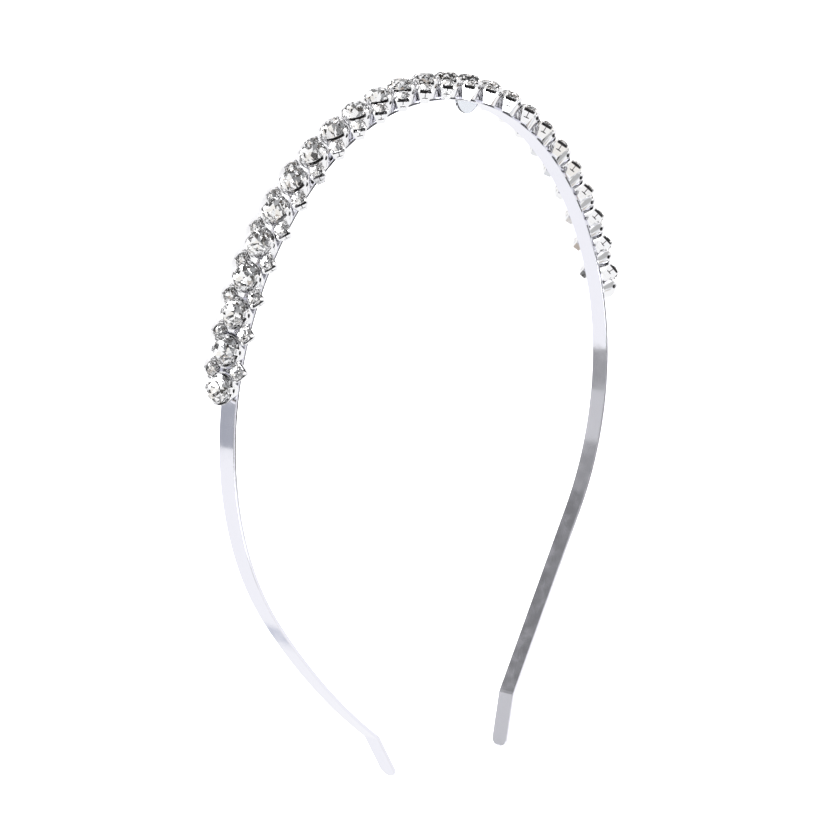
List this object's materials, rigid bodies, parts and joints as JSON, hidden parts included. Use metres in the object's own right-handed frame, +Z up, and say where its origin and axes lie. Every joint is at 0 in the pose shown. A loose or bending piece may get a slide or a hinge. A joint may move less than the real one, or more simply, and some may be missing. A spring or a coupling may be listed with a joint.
{
  "type": "crystal headband",
  "caption": "Sprung metal headband with tips bent outward, set along its crown with round crystals in claw cups and a small crystal at each side between them.",
  "frame": {"origin": "middle of the headband's outline on the surface that it lies on, on its side", "axes": "+X across the head to the side with the straight lower leg, +Y to the crown, +Z up along the strip's width"},
  "size_m": [0.1393, 0.16, 0.0113],
  "materials": {
    "plating": "bright silver plating over a sprung strip and soldered claw cups",
    "crystal": "clear cut crystal with a mirror backing",
    "clear_plastic": "clear thin plastic"
  },
  "bodies": {
    "root": {"band": "plating", "small_stones_upper": "crystal", "small_stones_lower": "crystal", "clear_tab": "clear_plastic", "large_stone_01": "crystal", "large_stone_02": "crystal", "large_stone_03": "crystal", "large_stone_04": "crystal", "large_stone_05": "crystal", "large_stone_06": "crystal", "large_stone_07": "crystal", "large_stone_08": "crystal", "large_stone_09": "crystal", "large_stone_10": "crystal", "large_stone_11": "crystal", "large_stone_12": "crystal", "large_stone_13": "crystal", "large_stone_14": "crystal", "large_stone_15": "crystal", "large_stone_16": "crystal", "large_stone_17": "crystal", "large_stone_18": "crystal", "large_stone_19": "crystal", "large_stone_20": "crystal", "large_stone_21": "crystal", "large_stone_22": "crystal", "large_stone_23": "crystal", "large_stone_24": "crystal", "large_stone_25": "crystal"}
  },
  "joints": []
}
